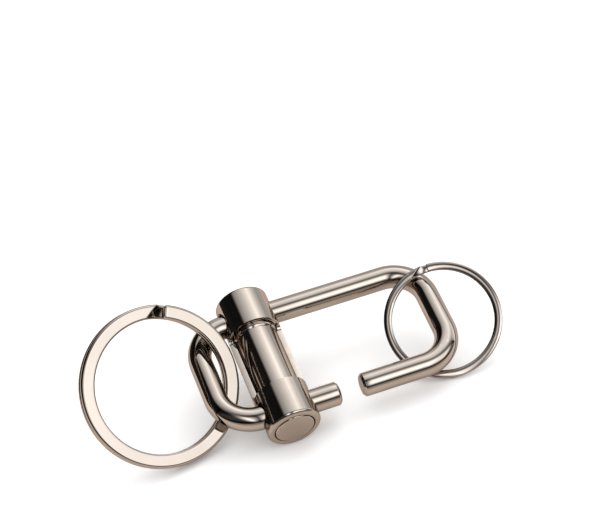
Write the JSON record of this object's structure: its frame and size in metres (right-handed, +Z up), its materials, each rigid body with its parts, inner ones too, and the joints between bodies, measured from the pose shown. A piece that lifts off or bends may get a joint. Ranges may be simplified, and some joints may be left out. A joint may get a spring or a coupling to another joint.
{
  "type": "shackle key holder with split rings",
  "caption": "Bent-bar key holder: a barrel slides along both arms to close the gap, locks with a push button, and flat-wire split rings hang on the bar's ends.",
  "frame": {"origin": "centre of the push button's face, on the barrel's axis, with the barrel open", "axes": "+X along the bar's arms from the large split ring to the small one, +Y along the barrel from the push button to the end plug, +Z up out of the plane of the bent bar"},
  "size_m": [0.0903, 0.0336, 0.0212],
  "materials": {
    "bar": "mirror-polished warm gun-metal plate",
    "barrel": "mirror-polished warm gun-metal plate",
    "button": "polished, slightly worn plate",
    "large_ring": "bright nickel plate",
    "small_ring": "darker polished nickel plate",
    "spring": "drawn spring wire"
  },
  "bodies": {
    "shackle": {"shackle_bar": "bar"},
    "barrel": {"barrel_housing": "barrel", "barrel_end_plug": "barrel", "return_spring": "spring"},
    "button": {"push_button_plunger": "button"},
    "large_ring": {"large_split_ring": "large_ring"},
    "small_ring": {"small_split_ring": "small_ring"}
  },
  "joints": [
    {"name": "barrel_slide", "type": "slide", "parent": "shackle", "child": "barrel", "axis": [1, 0, 0], "range_m": [0, 0.014]},
    {"name": "button_press", "type": "slide", "parent": "barrel", "child": "button", "axis": [0, 1, 0], "range_m": [0, 0.0012], "stiffness_N_per_m": 2500, "springref_m": -0.0008, "deforming": ["return_spring"]},
    {"name": "large_ring_swing", "type": "hinge", "parent": "shackle", "child": "large_ring", "pos_m": [-0.0128, 0.01685, 0], "axis": [1, 0, 0], "range_deg": [0, 95]},
    {"name": "small_ring_swing", "type": "hinge", "parent": "shackle", "child": "small_ring", "pos_m": [0.0378, 0.01685, 0], "axis": [1, 0, 0], "range_deg": [0, 120]}
  ]
}
